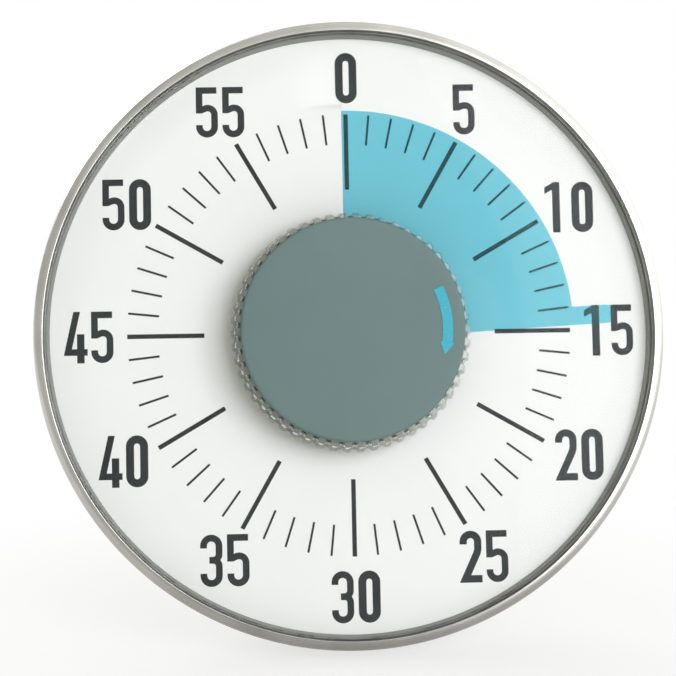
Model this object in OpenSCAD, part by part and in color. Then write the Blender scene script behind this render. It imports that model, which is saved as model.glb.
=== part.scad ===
// Visual countdown timer: a white sixty minute dial, a blue film that winds out of a slit
// in it as the big ribbed knob is turned, and a case that stands on a fold-out leg.
// Every piece is drawn in the dial's own frame (x right, y up, z towards the viewer, dial
// at z = 0, angles clockwise from twelve o'clock) and place() then leans it back on its foot.

/* [Case] */
// Outside diameter of the steel bezel
bezel_d = 190; // [186:1:196]
// Width of the bezel's front face
bezel_face = 3.7; // [3.2:0.1:4.4]
// Height of the bezel's front above the window
bezel_lip = 1.4; // [1.1:0.1:2.4]
// Sheet thickness of the bezel
bezel_wall = 0.8; // [0.6:0.1:1]
// Radius on the bezel's outer front edge
bezel_round = 2.6; // [1.5:0.1:3]
// Space between the movement and the wall of the leg's recess
back_space = 1; // [0.5:0.1:6]
// Wall thickness of the moulded case
case_wall = 2.2; // [1.8:0.1:2.6]
// How much smaller the case is at the back than at the front, on radius
case_taper = 5.6; // [4:0.2:8]
// Radius on the case's back edge
case_round = 4; // [3:0.2:6]
// Angle that the timer leans back when it stands
lean = 15; // [12:1:18]
// Distance of the case screws in from the bezel's outside
screw_inset = 19; // [17:0.5:21]

/* [Window] */
// Height of the window's underside above the dial
window_z = 3.1; // [3:0.1:3.6]
// Thickness of the clear window
window_t = 1.5; // [1:0.1:1.8]
// Width of the spacer ring where it stands on the dial
spacer_w = 3.8; // [3.4:0.1:4.5]
// How much wider the spacer ring opens towards the window
spacer_flare = 0.7; // [0.4:0.1:1]

/* [Dial and film] */
// Minutes that the timer is set to
set_minutes = 14.5; // [5:0.5:55]
// Thickness of the dial plate
dial_t = 0.5; // [0.4:0.05:0.6]
// Thickness of the blue film
film_t = 0.2; // [0.15:0.05:0.3]
// Clearance between the film and the dial on either side
film_gap = 0.2; // [0.15:0.05:0.3]
// Distance of the film's edge in from the spacer ring
film_inset = 22; // [21:0.2:26]
// Distance of the film's leading edge past the radial line
lead_offset = 2.1; // [1.5:0.1:2.6]
// Width of the pointer tab
tab_w = 5.6; // [4.6:0.2:6.4]
// How far the pointer tab reaches past the film's edge
tab_reach = 12.6; // [9:0.1:13]
// Distance of the dial's slit from the radial line at zero
slit_offset = 1.3; // [1:0.1:1.8]
// Width of the slit
slit_w = 0.4; // [0.3:0.05:0.6]
// How far the slit runs past the film's edge
slit_past = 2.4; // [1.8:0.1:4]
// Radius of the dial's centre hole
dial_hole_r = 14; // [13.5:0.1:16]

/* [Knob] */
// Radius of the clear knob at its foot
knob_r = 36.1; // [34:0.1:38]
// How much the clear knob narrows towards its top, on radius
knob_taper = 1.3; // [0.8:0.1:1.8]
// Height of the knob's foot above the window
knob_gap = 0.8; // [0.6:0.1:1.2]
// Height of the clear knob
knob_h = 7.6; // [7:0.1:9]
// Number of finger ribs round the knob
knob_ribs = 54; // [36:1:60]
// Depth of the grooves between the ribs
rib_depth = 0.9; // [0.5:0.1:1.1]
// Wall thickness of the clear knob
knob_wall = 3.2; // [2.8:0.1:4]
// How much smaller the grey cap is than the clear knob's top, on radius
cap_step = 1.5; // [1:0.1:3]
// Thickness of the grey cap
cap_t = 3; // [2.2:0.1:4]
// Radius on the cap's top edge
cap_round = 0.8; // [0.4:0.1:1.4]
// Radius of the boss that reaches down through the window
boss_r = 8; // [7:0.1:9]
// Distance of the arrow's arc in from the cap's edge
arrow_inset = 5.3; // [4:0.1:8]
// Width of the arrow's arc
arrow_w = 3; // [2.4:0.1:3.6]

/* [Spindle] */
// Radius of the spindle
spindle_r = 3; // [2.8:0.1:3.2]
// Half the width across the spindle's flats
spindle_flat = 2.3; // [2.1:0.1:2.5]
// Radial clearance of turning fits
running = 0.05; // [0.03:0.01:0.09]
// Clearance between nested case parts
fit = 0.1; // [0.06:0.02:0.2]

/* [Movement] */
// Side length of the square movement case
move_side = 58; // [56:1:62]
// Depth of the movement case
move_depth = 16; // [16:0.2:17]
// Plate and wall thickness of the movement case
move_wall = 1.4; // [1.2:0.1:1.6]
// Radius of the wheels' steel arbors
arbor_r = 0.6; // [0.5:0.05:0.7]
// Radius of the rotor magnet
rotor_r = 3; // [2.6:0.1:3.2]

/* [Stand] */
// Angle that the leg opens from the case's back
leg_open = 27; // [25:1:30]
// Width of the leg
leg_w = 40; // [34:1:44]
// Thickness of the leg
leg_t = 4.5; // [4:0.1:5]
// Height of the leg's hinge above the dial's centre
hinge_y = 15; // [10:1:18]
// Radius of the hinge pin
pin_r = 1.5; // [1.2:0.1:1.6]
// Depth of the recess that the leg folds into
recess_depth = 5.5; // [5.2:0.1:5.8]
// Width of the rubber foot
foot_w = 40; // [32:1:42]
// Thickness of the rubber foot
foot_t = 2; // [1.6:0.1:2.4]

/* [Battery] */
// Diameter of the battery cell
cell_d = 14.5; // [14.1:0.1:14.5]
// Length of the battery cell
cell_l = 50.5; // [49.5:0.1:50.5]
// Sideways place of the battery bay
bay_x = 46; // [44:0.5:48]

/* [Back fittings] */
// Radius of the wall magnets
magnet_r = 7; // [6:0.5:7.5]
// Thickness of the wall magnets
magnet_t = 3; // [2.5:0.1:3.4]
// Distance of the magnets' middles in from the bezel's outside
magnet_inset = 25; // [23:0.5:27]
// Radius of the hanging hole's round part
hang_r = 4.5; // [4:0.1:5]
// Half the width of the hanging hole's slot
hang_slot = 2.2; // [1.8:0.1:2.4]
// Distance of the hanging hole in from the bezel's outside
hang_inset = 35; // [33:1:39]
// Radius of the buzzer disc
buzzer_r = 13.4; // [12:0.2:13.8]

/* [Hidden] */

$fn = 96;
eps = 0.01;
deg_per_rad = 180 / PI;

// ---- Case sizes ----
bezel_r = bezel_d / 2;
lip_r = bezel_r - bezel_face;
window_top = window_z + window_t;
bezel_front = window_top + bezel_lip;
inside_r = bezel_r - bezel_wall - fit;
frame_rim_t = 1.95;
bezel_hook = 1;
bezel_back = -dial_t / 2 - frame_rim_t - bezel_wall;
frame_t = 1.6;
frame_drop = 0.2;
frame_top = -dial_t / 2 - frame_rim_t - frame_drop;
frame_back = frame_top - frame_t;
frame_rim_w = 5.5;
frame_rim_r = inside_r - fit - frame_rim_w;
register_deep = 2;
frame_deep = register_deep - bezel_back;
move_front = frame_back;
move_back = move_front - move_depth;
recess_wall = 1.5;
case_depth = recess_depth + recess_wall + back_space - move_back;
shell_step = 0.4;
shell_r = bezel_r - shell_step;
shell_back_r = shell_r - case_taper;
register_r = shell_r - case_wall - fit;
back_inside = case_wall - case_depth;
spacer_r = inside_r - fit - spacer_w;
recess_floor = recess_depth - case_depth;

// ---- Standing: the foot's bottom is the table, and the timer leans back over it ----
rim_lift = 1;
stand_h = bezel_r * cos(lean) - bezel_back * sin(lean) + rim_lift;
foot_l = 8.5;
foot_back = recess_floor + 1;
foot_front = foot_back + foot_l;
foot_mid = (foot_front + foot_back) / 2;
stand_y = foot_mid * cos(lean) - ground_y(foot_mid, 0) * sin(lean);

// ---- Stand leg and its recess ----
recess_side = 1;
recess_cheek = 2.5;
hinge_z = -case_depth + recess_depth / 2;
hinge_up = stand_h + hinge_y * cos(lean) + hinge_z * sin(lean);
leg_len = (hinge_up - leg_t / 2) / cos(leg_open - lean);
tip_len = 6;
recess_top = hinge_y + 7;
recess_half = leg_w / 2 + recess_side;
pin_half = recess_half + recess_cheek - 0.4;
stop_gap = 0.1;
tongue_t = 1.4;
leg_rim = 4;
leg_slot = 3;

// ---- Film: it climbs one lead in a full turn, so it passes from behind the dial to the front ----
film_r = spacer_r - film_inset;
tab_r = film_r + tab_reach;
slit_end = film_r + slit_past;
film_lead = 2 * (film_gap + dial_t / 2 + film_t / 2);
set_angle = 6 * set_minutes;
film_now = film_lead * set_angle / 360;
tail_offset = -1.8;
hub_r = 12;
sleeve_r = 7;
ramp_t = 1;
clamp_t = 0.8;
hub_bottom = film_now - film_lead - film_t / 2 - ramp_t;
clamp_top = film_now + film_t / 2 + clamp_t;
ramp_open = 18;
lip_r_in = film_r + 0.4;
drop_angle = 12;
rim_ease = 8.5;
rim_from = frame_rim_r - rim_ease;
rim_to = frame_rim_r;
dial_r = inside_r - 0.2;

// ---- Knob ----
cap_r = knob_r - knob_taper - cap_step;
arrow_r = cap_r - arrow_inset;
knob_foot = window_top + knob_gap;
knob_top = knob_foot + knob_h;
top_plate = 2;
screw_pocket = 1.8;
screw_pocket_r = 5;
boss_foot = window_z - 0.5;
spindle_top = knob_top - screw_pocket - 0.8;
flats_from = -2.6;
arrow_t = 0.15;

// ---- Movement: wheels on three levels behind the front plate ----
move_split = move_front - 7;
move_half = move_side / 2;
move_inside = move_half - move_wall;
main_teeth = 48;
second_pinion_teeth = 12;
second_teeth = 40;
third_pinion_teeth = 10;
third_teeth = 60;
rotor_teeth = 8;
main_mod = 0.5;
second_mod = 0.4;
third_mod = 0.3;
second_dir = 200;
third_dir = 80;
rotor_dir = 100;
second_at = polar(main_mod * (main_teeth + second_pinion_teeth) / 2, second_dir);
third_at = second_at + polar(second_mod * (second_teeth + third_pinion_teeth) / 2, third_dir);
rotor_at = third_at + polar(third_mod * (third_teeth + rotor_teeth) / 2, rotor_dir);
level_1 = move_front - 3.6;
level_2 = move_front - 6.2;
level_3 = move_front - 8.4;
main_t = 1.4;
second_t = 1;
third_t = 0.8;
flange_r = 6;
flange_t = 0.9;
flange_gap = 0.2;
clip_r = 4.6;
clip_t = 0.8;
spring_h = 0.8;
cam_r = 5;
cam_lobe = 6.2;
cam_t = 1.2;
cam_z = move_front - 11.2;
stator_t = 1.2;
stator_z = move_front - 10.3;
stator_left = 9 - move_half;
stator_right = move_half - 7.5;
stator_top = move_half - move_wall - 2;
stator_low = rotor_at[1] - rotor_r - 1.4;
rotor_gap = 0.6;
coil_leg = 3.5;
coil_r = 3.2;
coil_from = stator_left + 12;
coil_to = stator_right - coil_leg;
board_t = 1.2;
board_lift = 1;
board_z = move_back + move_wall + board_lift + board_t;
board_left = 7;
board_top = 7;
wall_gap = 0.6;
screw_post_r = 3;
pivot_r = 1.5;
pivot_deep = 0.8;
spindle_foot = move_back + move_wall + 1.1;

// ---- Places on the case's back ----
screw_ring = bezel_r - screw_inset;
magnet_ring = bezel_r - magnet_inset;
hang_y = bezel_r - hang_inset;
screw_at = [for (a = [35, 145, 215, 325]) polar(screw_ring, a)];
magnet_at = [for (a = [65, 115, 225, 315]) polar(magnet_ring, a)];
buzzer_at = [-45, 18];
buzzer_z = back_inside + 2.8;
buzzer_t = 0.6;
buzzer_wall = 1.1;
switch_at = [-45, -22];
switch_travel = 3;
stem_w = 2.6;
stem_in = 1.4;
move_screw_at = [for (x = [-1, 1], y = [-1, 1]) [x * (move_half - 4), y * (move_half - 4)]];
case_screw_r = 1.45;
case_head_r = 2.8;
case_head_h = 2;
counterbore = 4;
post_r = 4;
post_end = -12;
door_t = 1.8;
door_gap = 0.15;
bay_w = cell_d + 1.1;
bay_l = cell_l + 7.5;
bay_wall = 1.4;
door_w = bay_w + 7.4;
door_l = bay_l + 8;
cell_z = -case_depth + door_t + 0.5 + cell_d / 2;
bay_floor = cell_z + cell_d / 2 + 0.3;
contact_t = 0.5;
contact_w = 10;
cell_y = bay_l / 2 - contact_t - cell_l / 2;
film_seat = 0.01;

// Row height y of the table under the case, lifted by some thickness, at depth z
function ground_y(z, lift) = (lift - stand_h - z * sin(lean)) / cos(lean);
// Point at a distance in a direction counted from +x
function polar(r, a) = [r * cos(a), r * sin(a)];
// Point at radius r, clockwise angle a from twelve o'clock
function clock(r, a, z) = [r * sin(a), r * cos(a), z];
// Clockwise angle at radius r of a line that runs beside the radial line
function beside(offset, r) = asin(offset / r);
// Smooth step from 0 to 1 between two values
function ease(a, b, x) = let (t = max(0, min(1, (x - a) / (b - a)))) t * t * (3 - 2 * t);
// Height of the film's middle at a clockwise angle
function film_z(a) = film_lead * a / 360;
// Height of the dial's middle: a one-turn ramp inside, which closes up outside the slit
function ramp_z(a) = film_lead * (a / 360 - 0.5);
function closed_z(a) = ramp_z(a) - (ramp_z(a) - ramp_z(0)) * ease(360 - drop_angle, 360, a);
function dial_z(r, a) = let (s = ease(lip_r_in, slit_end, r))
    (ramp_z(a) * (1 - s) + closed_z(a) * s) * (1 - ease(rim_from, rim_to, r));

// Leans a piece back and stands it on the table, with the foot's middle at the origin
module place() {
    translate([0, stand_y, stand_h]) rotate([90 - lean, 0, 0]) children();
}

// Closed body between a top and a bottom grid of points, [ring][step]
module slab(top, bottom, closed = false) {
    n = len(top);
    m = len(top[0]);
    cells = closed ? m - 1 : m - 2;
    all = n * m;
    points = concat([for (ring = top) each ring], [for (ring = bottom) each ring]);
    faces = concat(
        [for (i = [0:n - 2], j = [0:cells]) let (k = (j + 1) % m)
            each [[i * m + j, (i + 1) * m + j, (i + 1) * m + k], [i * m + j, (i + 1) * m + k, i * m + k]]],
        [for (i = [0:n - 2], j = [0:cells]) let (k = (j + 1) % m) each [
            [all + i * m + j, all + (i + 1) * m + k, all + (i + 1) * m + j],
            [all + i * m + j, all + i * m + k, all + (i + 1) * m + k]]],
        [for (j = [0:cells]) let (k = (j + 1) % m) [j, k, all + k, all + j]],
        [for (j = [0:cells]) let (k = (j + 1) % m, o = (n - 1) * m) [o + j, all + o + j, all + o + k, o + k]],
        closed ? [] : [for (i = [0:n - 2]) [(i + 1) * m, i * m, all + i * m, all + (i + 1) * m]],
        closed ? [] : [for (i = [0:n - 2]) let (e = m - 1)
            [i * m + e, (i + 1) * m + e, all + (i + 1) * m + e, all + i * m + e]]);
    polyhedron(points = points, faces = faces, convexity = 8);
}

// Closed rod through a row of rings of points
module rod(rings) {
    m = len(rings[0]);
    last = (len(rings) - 1) * m;
    polyhedron(points = [for (ring = rings) each ring], convexity = 8, faces = concat(
        [[for (j = [0:m - 1]) j]],
        [for (i = [0:len(rings) - 2], j = [0:m - 1]) let (a = i * m + j, b = i * m + (j + 1) % m)
            each [[a, a + m, b + m], [a, b + m, b]]],
        [[for (j = [m - 1:-1:0]) last + j]]));
}

// Block in the r-z plane whose outer top corner is rounded
module rounded_block(r0, r1, z0, z1, corner) {
    translate([r0, z0]) square([r1 - r0 - corner, z1 - z0]);
    translate([r0, z0]) square([r1 - r0, z1 - z0 - corner]);
    translate([r1 - corner, z1 - corner]) circle(corner);
}

// Cup that narrows to the back, with a straight front band and a rounded back edge
module cup(r_front, r_back, z_front, z_back, corner) {
    rotate_extrude($fn = 180) cup_section(r_front, r_back, z_front, z_back, corner);
}
module cup_section(r_front, r_back, z_front, z_back, corner) {
    polygon([[0, z_front], [r_front, z_front], [r_front, -frame_deep - 1], [r_back, z_back + corner],
        [r_back - corner, z_back], [0, z_back]]);
    translate([r_back - corner, z_back + corner]) circle(corner);
}

// Tube between two heights
module tube(r_out, r_in, z0, z1) {
    translate([0, 0, z0]) difference() {
        cylinder(r = r_out, h = z1 - z0);
        translate([0, 0, -1]) cylinder(r = r_in, h = z1 - z0 + 2);
    }
}

// Prism that runs across the case, from an outline of [z, y] points
module across(half, outline) {
    translate([half, 0, 0]) rotate([0, -90, 0]) linear_extrude(2 * half) polygon(outline);
}

// Screw pointing to +z from under its head, with a cross recess
module screw(head_r, head_h, shank_r, shank_l) {
    difference() {
        union() {
            translate([0, 0, -head_h]) cylinder(r = head_r, h = head_h);
            cylinder(r = shank_r, h = shank_l);
        }
        for (turn = [0, 90]) {
            rotate(turn) translate([0, 0, -head_h])
                cube([head_r * 1.3, head_r * 0.28, head_h], center = true);
        }
    }
}

// ---- Case ----

// Stainless ring, spun over the window, the spacer, the dial and the frame's rim
module bezel_ring() {
    lip_round = 0.35;
    color("silver") place() rotate_extrude($fn = 180) difference() {
        union() {
            rounded_block(lip_r + lip_round, bezel_r, bezel_back, bezel_front, bezel_round);
            translate([lip_r, window_top]) square([1, bezel_front - window_top - lip_round]);
            translate([lip_r + lip_round, bezel_front - lip_round]) circle(lip_round);
        }
        rounded_block(lip_r + bezel_wall, bezel_r - bezel_wall, -dial_t / 2 - frame_rim_t,
            bezel_front - bezel_wall, bezel_round - bezel_wall);
        translate([0, -dial_t / 2 - frame_rim_t]) square([inside_r, window_top + dial_t / 2 + frame_rim_t]);
        translate([0, bezel_back - 1]) square([inside_r - bezel_hook, window_top - bezel_back]);
    }
}

// Clear window with a hole for the knob's boss
module lens_window() {
    color([0.85, 0.93, 0.95, 0.3]) place() tube(inside_r - fit, boss_r + 1.5, window_z, window_top);
}

// Grey ring that holds the window off the dial
module lens_spacer() {
    color("dimgray") place() rotate_extrude($fn = 180) polygon([[spacer_r, dial_t / 2],
        [inside_r - fit, dial_t / 2], [inside_r - fit, window_z], [spacer_r + spacer_flare, window_z]]);
}

// White dial: a thin plate cut by the slit, whose lips stand one lead apart
module dial_plate() {
    steps = concat([for (a = [0:6:342]) a], [for (a = [345:3:360]) a]);
    inner = [dial_hole_r, film_r * 0.6, film_r * 0.88, lip_r_in, slit_end];
    outer = [slit_end, (slit_end + rim_from) / 2, rim_from, (rim_from + rim_to) / 2, rim_to, dial_r];
    function cut(r) = slit_w / r * deg_per_rad;
    function turn(r, a) = a * (1 - cut(r) / 360) + cut(r) / 2 - beside(slit_offset, r);
    function grid(radii, lift) = [for (r = radii)
        [for (a = steps) clock(r, turn(r, a), dial_z(r, a) + lift)]];
    color("white") place() union() {
        slab(grid(inner, dial_t / 2), grid(inner, -dial_t / 2));
        slab(grid(outer, dial_t / 2), grid(outer, -dial_t / 2), true);
    }
}

// White inner frame: carries the dial at its rim and the movement on its back
module front_frame() {
    color("whitesmoke") place() difference() {
        union() {
            rotate_extrude($fn = 180) difference() {
                union() {
                    translate([0, -frame_deep]) square([register_r, frame_deep - dial_t / 2]);
                    translate([0, -dial_t / 2 - frame_rim_t]) square([inside_r - fit, frame_rim_t]);
                }
                translate([-1, frame_top]) square([frame_rim_r + 1, 3]);
                translate([-1, -frame_deep - 1]) square([frame_rim_r - 1, frame_back + frame_deep + 1]);
            }
            for (p = screw_at) {
                translate([p[0], p[1], post_end]) cylinder(r = post_r - 0.2, h = frame_back - post_end);
            }
        }
        translate([0, 0, frame_back - 1]) cylinder(r = hub_r + 2.5, h = frame_t + 2);
        for (p = screw_at) {
            translate([p[0], p[1], post_end - 1]) cylinder(r = case_screw_r + running, h = 9, $fn = 32);
        }
        for (p = move_screw_at) {
            translate([p[0], p[1], frame_back - 1]) cylinder(r = 1 + running, h = frame_t + 2, $fn = 32);
        }
    }
}

// Space of the leg's recess, open to the back and through the bottom rim
module leg_recess() {
    translate([-recess_half, -bezel_r - 5, -case_depth - 1])
        cube([2 * recess_half, recess_top + bezel_r + 5, recess_depth + 1]);
}

// Space of the rubber foot under the case
module foot_block(grow) {
    front = foot_front + grow;
    back = foot_back - grow;
    low = grow > 0 ? foot_t * 3 : 0;
    across(foot_w / 2 + grow, [[front, ground_y(front, foot_t)], [front, ground_y(front, -low)],
        [back, ground_y(back, -low)], [back, ground_y(back, foot_t)]]);
}

// Moulded rear shell with the leg's recess, the battery bay and the posts for the screws
module rear_shell() {
    plinth_top = 11 - bezel_r;
    plinth_front = foot_front + 1;
    slot_l = hang_r + 6;
    magnet_wall = 1.6;
    head_room = 0.5;
    sound_ring = 6;
    sound_r = 1.2;
    color("gainsboro") place() difference() {
        union() {
            difference() {
                cup(shell_r, shell_back_r, bezel_back, -case_depth, case_round);
                cup(shell_r - case_wall, shell_back_r - case_wall, bezel_back + 1, back_inside,
                    case_round - case_wall / 2);
            }
            intersection() {
                cup(shell_r, shell_back_r, bezel_back, -case_depth, case_round);
                union() {
                    translate([-recess_half - recess_cheek, -bezel_r, -case_depth]) cube([
                        2 * (recess_half + recess_cheek), recess_top + recess_wall + bezel_r,
                        recess_depth + recess_wall]);
                    translate([bay_x - bay_w / 2 - bay_wall, -bay_l / 2 - bay_wall, -case_depth])
                        cube([bay_w + 2 * bay_wall, bay_l + 2 * bay_wall, bay_floor + bay_wall + case_depth]);
                    for (p = screw_at) {
                        translate([p[0], p[1], -case_depth]) cylinder(r = post_r, h = post_end + case_depth);
                    }
                    for (p = magnet_at) {
                        translate([p[0], p[1], -case_depth])
                            cylinder(r = magnet_r + magnet_wall, h = magnet_t + bay_wall);
                    }
                    translate([buzzer_at[0], buzzer_at[1], 0])
                        tube(buzzer_r + buzzer_wall, buzzer_r - 1, back_inside - 1, buzzer_z);
                }
            }
            across(foot_w / 2 + 1, [[plinth_front, plinth_top],
                [plinth_front, ground_y(plinth_front, foot_t)],
                [foot_back, ground_y(foot_back, foot_t)], [foot_back, plinth_top]]);
        }
        leg_recess();
        foot_block(fit);
        translate([0, hinge_y, hinge_z]) rotate([0, 90, 0])
            cylinder(r = pin_r + running, h = 2 * (pin_half + fit), center = true, $fn = 48);
        translate([bay_x - bay_w / 2, -bay_l / 2, -case_depth - 1])
            cube([bay_w, bay_l, bay_floor + case_depth + 1]);
        translate([bay_x - door_w / 2 - door_gap, -door_l / 2 - door_gap, -case_depth - 1])
            cube([door_w + 2 * door_gap, door_l + 2 * door_gap, door_t + 1]);
        for (p = screw_at) {
            translate([p[0], p[1], -case_depth - 1])
                cylinder(r = case_head_r + head_room, h = counterbore + 1, $fn = 48);
            translate([p[0], p[1], -case_depth])
                cylinder(r = case_screw_r + head_room / 2, h = case_depth, $fn = 32);
        }
        for (p = magnet_at) {
            translate([p[0], p[1], -case_depth - 1]) cylinder(r = magnet_r + fit, h = magnet_t + 1);
        }
        translate([0, hang_y, -case_depth - 1]) {
            cylinder(r = hang_r, h = case_wall + 2);
            translate([-hang_slot, 0, 0]) cube([2 * hang_slot, slot_l, case_wall + 2]);
            translate([0, slot_l, 0]) cylinder(r = hang_slot, h = case_wall + 2, $fn = 48);
        }
        for (p = concat([[0, 0]], [for (a = [0:60:300]) polar(sound_ring, a)])) {
            translate([buzzer_at[0] + p[0], buzzer_at[1] + p[1], -case_depth - 1])
                cylinder(r = sound_r, h = case_wall + 2, $fn = 32);
        }
        translate([switch_at[0], switch_at[1], -case_depth + case_wall / 2])
            cube([stem_w + switch_travel + 4 * fit, stem_w + 2 * fit, case_wall + 2], center = true);
    }
}

// Rubber foot under the plinth
module foot_pad() {
    color("dimgray") place() foot_block(0);
}

// Four screws from the back into the frame's bosses
module case_screws() {
    color("gray") place() for (p = screw_at) {
        translate([p[0], p[1], counterbore - case_depth])
            screw(case_head_r, case_head_h, case_screw_r, case_depth - counterbore - 6.5, $fn = 48);
    }
}

// Four disc magnets, flush with the back
module wall_magnets() {
    color("lightgray") place() for (p = magnet_at) {
        translate([p[0], p[1], -case_depth]) cylinder(r = magnet_r, h = magnet_t);
    }
}

// ---- Stand ----

// Shape that lies in the leg's own frame: hinge at the origin, leg along -y when folded
module in_leg() {
    place() translate([0, hinge_y, hinge_z]) rotate([leg_open, 0, 0]) children();
}

// Fold-out leg, opened out, with a heel that meets the recess's floor as its stop
module stand_leg() {
    heel = 5;
    heel_z = recess_depth / 2 - stop_gap;
    relief = 1.2;
    panel_w = (leg_w - 3 * leg_rim) / 2;
    color("gainsboro") difference() {
        union() {
            in_leg() {
                translate([-leg_w / 2, tip_len - leg_len, -leg_t / 2])
                    cube([leg_w, leg_len - tip_len, leg_t]);
                rotate([0, 90, 0]) cylinder(r = leg_t / 2, h = leg_w, center = true, $fn = 64);
            }
            place() translate([0, hinge_y, hinge_z])
                across(leg_w / 2, [[0, 0], [heel_z, 0], [heel_z, heel], [0.6, heel], [-1, 2]]);
        }
        in_leg() {
            rotate([0, 90, 0]) cylinder(r = pin_r + fit, h = leg_w + 2, center = true, $fn = 48);
            for (x = [leg_rim / 2, -leg_rim / 2 - panel_w]) {
                translate([x, tip_len + leg_rim - leg_len, -leg_t / 2 - 1])
                    cube([panel_w, leg_len - tip_len - 4 * leg_rim, 1 + relief]);
            }
            translate([-leg_w / 2 + leg_rim, tip_len - leg_len - 1, -tongue_t / 2 - fit])
                cube([leg_w - 2 * leg_rim, leg_slot + 1, tongue_t + 2 * fit]);
        }
    }
}

// Steel hinge pin, held in the recess's cheeks
module stand_pin() {
    color("silver") place() translate([0, hinge_y, hinge_z]) rotate([0, 90, 0])
        cylinder(r = pin_r, h = 2 * pin_half, center = true, $fn = 48);
}

// Rubber shoe on the end of the leg, with a tongue in the leg's slot
module leg_tip() {
    tongue_half = leg_w / 2 - leg_rim - fit;
    tongue_l = leg_slot - fit - 0.1;
    color("dimgray") in_leg() {
        translate([-leg_w / 2, -leg_len, -leg_t / 2]) cube([leg_w, tip_len, leg_t]);
        translate([0, -leg_len, 0]) rotate([0, 90, 0])
            cylinder(r = leg_t / 2, h = leg_w, center = true, $fn = 64);
        translate([-tongue_half, -leg_len, -tongue_t / 2])
            cube([2 * tongue_half, tip_len + tongue_l, tongue_t]);
    }
}

// ---- Battery ----

// Snap-in cover with a thumb ridge
module battery_door() {
    thumb_w = 12;
    thumb_h = 2;
    thumb_deep = 0.6;
    rib_t = 1.2;
    rib_h = 1.5;
    rib_l = door_l - 26;
    color("gainsboro") place() union() {
        difference() {
            translate([bay_x - door_w / 2, -door_l / 2, -case_depth]) cube([door_w, door_l, door_t]);
            for (y = [2 * thumb_h, 4 * thumb_h]) {
                translate([bay_x - thumb_w / 2, y - door_l / 2, -case_depth - 1])
                    cube([thumb_w, thumb_h, 1 + thumb_deep]);
            }
        }
        for (x = [-1, 1]) {
            translate([bay_x + x * (bay_w / 2 - rib_t) - rib_t / 2, -rib_l / 2, -case_depth + door_t - eps])
                cube([rib_t, rib_l, rib_h]);
        }
    }
}

// Size AA cell with its contact button
module battery_cell() {
    button_r = 2.7;
    button_h = 1;
    color("darkorange") place() translate([bay_x, cell_y, cell_z]) rotate([-90, 0, 0]) {
        translate([0, 0, -cell_l / 2]) cylinder(r = cell_d / 2, h = cell_l - button_h);
        translate([0, 0, cell_l / 2 - button_h - eps])
            cylinder(r = button_r, h = button_h + eps, $fn = 48);
    }
}

// Flat contact at the button end
module plate_contact() {
    color("goldenrod") place()
        translate([bay_x - contact_w / 2, bay_l / 2 - contact_t, cell_z - contact_w / 2])
            cube([contact_w, contact_t, contact_w]);
}

// Coil contact at the flat end: a fixing plate and a wire wound to the cell
module spring_contact() {
    wire = 0.3;
    turns = 4;
    steps = 16;
    wide = 4.4;
    narrow = 3.4;
    y0 = contact_t + wire / 2;
    y1 = cell_y - cell_l / 2 + bay_l / 2 - wire;
    function mid(t) = wide + (narrow - wide) * t;
    rings = [for (k = [0:turns * steps]) let (t = k / (turns * steps), a = 360 * k / steps)
        [for (b = [0:60:300]) let (r = mid(t) + wire * cos(b))
            [r * cos(a), y0 + (y1 - y0) * t + wire * sin(b), r * sin(a)]]];
    color("goldenrod") place() translate([bay_x, -bay_l / 2, cell_z]) {
        translate([-contact_w / 2, 0, -contact_w / 2]) cube([contact_w, contact_t, contact_w]);
        rod(rings);
    }
}

// ---- Movement ----

// Outline of a spur gear, involute flanks at 20 degrees, thinned for backlash, a tooth at angle 0
module gear_2d(teeth, mod) {
    pressure = 20;
    pitch_r = teeth * mod / 2;
    base_r = pitch_r * cos(pressure);
    tip_r = pitch_r + 0.8 * mod;
    root_r = pitch_r - 1.1 * mod;
    thin = 0.84;
    low_r = max(base_r, root_r + 0.02);
    function roll(r) = let (a = acos(min(1, base_r / r))) tan(a) * deg_per_rad - a;
    function half(r) = 90 / teeth * thin + roll(pitch_r) - roll(max(r, base_r));
    flank = [root_r, low_r, (low_r + pitch_r) / 2 + 0.001, pitch_r + 0.002, tip_r];
    polygon([for (t = [0:teeth - 1]) let (c = 360 * t / teeth)
        each concat([for (r = flank) polar(r, c - half(r))],
            [for (k = [len(flank) - 1:-1:0]) polar(flank[k], c + half(flank[k]))])]);
}

// Wheel with a gear rim, five round windows and a hub hole
module wheel(teeth, mod, t, hole_r) {
    pitch_r = teeth * mod / 2;
    web_r = (pitch_r - 1.25 * mod + hole_r) / 2;
    window_r = (pitch_r - 1.25 * mod - hole_r) / 2 - 1;
    linear_extrude(t) difference() {
        gear_2d(teeth, mod);
        circle(hole_r, $fn = 48);
        for (a = [0:72:288]) {
            rotate(a) translate([web_r, 0]) circle(min(window_r, web_r * 0.42), $fn = 32);
        }
    }
}

// Places a piece at an arbor, at a height below the front plate
module at_arbor(p, z) {
    place() translate([p[0], p[1], z]) children();
}

// Steel pinion in one with its arbor, pivoted in both plates
module pinion(p, teeth, mod, z_low, t, turn) {
    pivot = 0.9;
    z0 = move_back + move_wall - pivot;
    z1 = move_front - move_wall + pivot;
    color("silver") at_arbor(p, 0) union() {
        translate([0, 0, z_low]) rotate(turn) linear_extrude(t) gear_2d(teeth, mod);
        translate([0, 0, z0]) cylinder(r = arbor_r, h = z1 - z0, $fn = 32);
    }
}

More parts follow.
